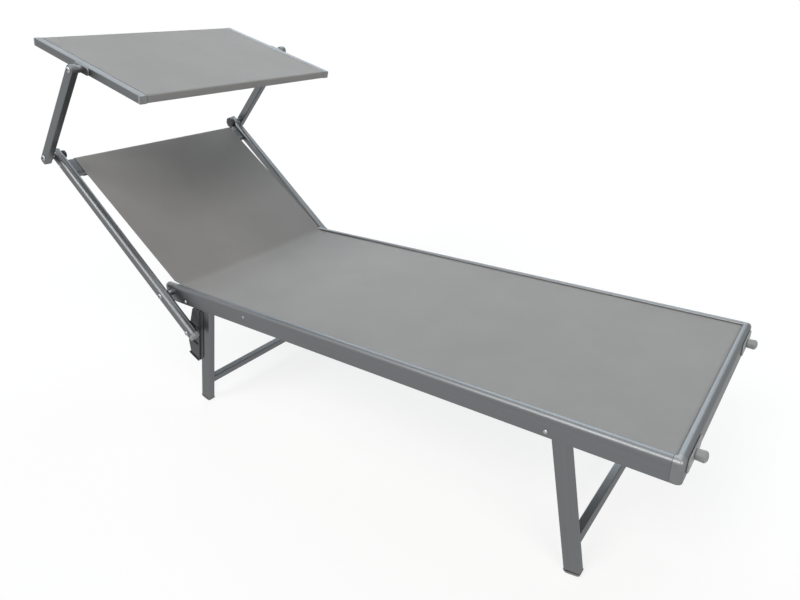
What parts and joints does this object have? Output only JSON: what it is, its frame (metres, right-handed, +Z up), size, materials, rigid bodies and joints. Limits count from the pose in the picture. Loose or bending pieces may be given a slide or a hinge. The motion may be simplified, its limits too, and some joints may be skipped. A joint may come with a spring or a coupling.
{
  "type": "sun lounger with canopy",
  "caption": "Aluminium sun lounger: grey mesh seat, backrest reclining on notched racks, two folding leg pairs, and a flat tilting mesh canopy on swinging links.",
  "frame": {"origin": "on the floor, under the middle of the whole lounger's box with the backrest up and the canopy out", "axes": "+X toward the foot end, +Y toward the left side (the clamp knob's side), +Z up"},
  "size_m": [1.785, 0.737, 0.9823],
  "materials": {
    "aluminium": "satin",
    "cast_aluminium": "matt",
    "mesh": "woven mesh",
    "grey_plastic": "matt",
    "dark_plastic": "matt",
    "steel": "plated"
  },
  "bodies": {
    "bed_frame": {"side_rail_right": "aluminium", "side_rail_left": "aluminium", "foot_crossbar": "aluminium", "head_crossbar": "aluminium", "frame_corner_right": "cast_aluminium", "frame_corner_left": "cast_aluminium", "rail_end_cap_right": "grey_plastic", "rail_end_cap_left": "grey_plastic", "seat_fabric": "mesh", "buffer_plate_right": "grey_plastic", "buffer_plate_left": "grey_plastic", "buffer_peg_right": "grey_plastic", "buffer_peg_left": "grey_plastic", "head_leg_hinge_right": "steel", "head_leg_hinge_left": "steel", "foot_leg_hinge_right": "steel", "foot_leg_hinge_left": "steel", "recline_bolt_right": "steel", "recline_bolt_left": "steel"},
    "head_legs": {"head_leg_right": "aluminium", "head_leg_left": "aluminium", "head_leg_foot_right": "grey_plastic", "head_leg_foot_left": "grey_plastic", "head_leg_crossbar": "aluminium", "rack_right": "dark_plastic", "rack_left": "dark_plastic"},
    "foot_legs": {"foot_leg_right": "aluminium", "foot_leg_left": "aluminium", "foot_leg_foot_right": "grey_plastic", "foot_leg_foot_left": "grey_plastic", "foot_leg_crossbar": "aluminium"},
    "backrest": {"backrest_arm_right": "aluminium", "backrest_arm_left": "aluminium", "arm_lower_cap_right": "grey_plastic", "arm_lower_cap_left": "grey_plastic", "arm_upper_cap_right": "grey_plastic", "arm_upper_cap_left": "grey_plastic", "rack_pin_right": "steel", "rack_pin_left": "steel", "backrest_top_bar": "aluminium", "backrest_fabric": "mesh", "lock_nut_right": "dark_plastic"},
    "canopy_links": {"canopy_link_right": "aluminium", "canopy_link_left": "aluminium", "link_bolt_right": "steel", "link_bolt_left": "steel"},
    "clamp_knob": {"clamp_knob_left": "dark_plastic"},
    "canopy": {"canopy_side_bar_right": "aluminium", "canopy_side_bar_left": "aluminium", "canopy_front_bar": "aluminium", "canopy_rear_bar": "aluminium", "canopy_front_corner_right": "grey_plastic", "canopy_front_corner_left": "grey_plastic", "canopy_rear_corner_right": "grey_plastic", "canopy_rear_corner_left": "grey_plastic", "canopy_lug_right": "cast_aluminium", "canopy_lug_left": "cast_aluminium", "canopy_bolt_right": "steel", "canopy_bolt_left": "steel", "canopy_fabric": "mesh"}
  },
  "joints": [
    {"name": "recline", "type": "hinge", "parent": "bed_frame", "child": "backrest", "pos_m": [-0.4786, 0, 0.331], "axis": [0, 1, 0], "range_deg": [-40.8, 30]},
    {"name": "head_legs_fold", "type": "hinge", "parent": "bed_frame", "child": "head_legs", "pos_m": [-0.3426, 0, 0.323], "axis": [0, -1, 0], "range_deg": [0, 102.2]},
    {"name": "foot_legs_fold", "type": "hinge", "parent": "bed_frame", "child": "foot_legs", "pos_m": [0.6544, 0, 0.323], "axis": [0, 1, 0], "range_deg": [0, 98.8]},
    {"name": "canopy_swing", "type": "hinge", "parent": "backrest", "child": "canopy_links", "pos_m": [-0.87282, 0, 0.67164], "axis": [0, -1, 0], "range_deg": [-30, 95]},
    {"name": "canopy_tilt", "type": "hinge", "parent": "canopy_links", "child": "canopy", "pos_m": [-0.63128, 0, 0.9115], "axis": [0, 1, 0], "range_deg": [-60, 60]},
    {"name": "clamp_knob_turn", "type": "hinge", "parent": "canopy_links", "child": "clamp_knob", "pos_m": [-0.87282, 0.3, 0.67164], "axis": [0, 1, 0], "continuous": true}
  ]
}
